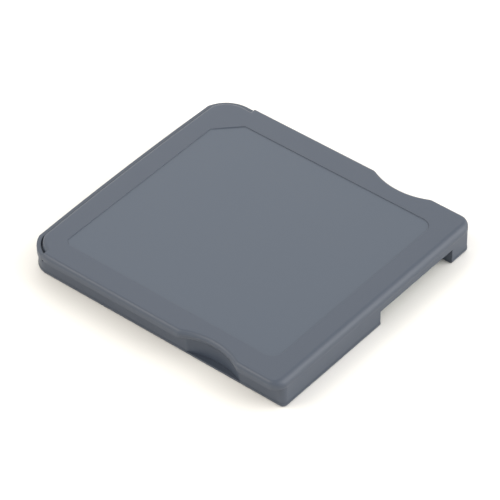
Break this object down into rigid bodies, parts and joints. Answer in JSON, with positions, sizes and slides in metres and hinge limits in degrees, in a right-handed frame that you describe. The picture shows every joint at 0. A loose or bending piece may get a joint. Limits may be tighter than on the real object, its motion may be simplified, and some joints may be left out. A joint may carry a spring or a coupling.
{
  "type": "flash cartridge",
  "caption": "Flat game cartridge with a moulded shell, bare sunk label area, finger notches, edge contacts in rear windows and a memory card slot in its outer end.",
  "frame": {"origin": "middle of the flat rear face", "axes": "+Z out of the rear face's plane up through the label side, +Y along the length to the outer end with the memory card slot, -Y to the contact end, +X across the width"},
  "size_m": [0.033, 0.035, 0.0038],
  "materials": {
    "shell_plastic": "satin, slate grey",
    "board_laminate": "green coated laminate",
    "gold_plating": "gold plated",
    "socket_plastic": "matt black",
    "socket_steel": "rolled steel",
    "crystal_lid_metal": "satin",
    "chip_resin": "matt moulded resin",
    "tinned_leads": "bright tin",
    "capacitor_ceramic": "fired ceramic",
    "crystal_ceramic": "fired ceramic",
    "resistor_coat": "glazed"
  },
  "bodies": {
    "root": {"front_shell": "shell_plastic", "rear_shell": "shell_plastic", "circuit_board": "board_laminate", "edge_contacts": "gold_plating", "test_pads": "gold_plating", "socket_bed": "socket_plastic", "socket_cover": "socket_steel", "socket_springs": "gold_plating", "controller_body": "chip_resin", "controller_leads": "tinned_leads", "save_memory_body": "chip_resin", "save_memory_leads": "tinned_leads", "loader_memory_body": "chip_resin", "loader_memory_pads": "tinned_leads", "regulator_body": "chip_resin", "regulator_leads": "tinned_leads", "crystal_base": "crystal_ceramic", "crystal_lid": "crystal_lid_metal", "capacitor_bodies": "capacitor_ceramic", "capacitor_ends": "tinned_leads", "resistor_bodies": "resistor_coat", "resistor_ends": "tinned_leads"}
  },
  "joints": []
}
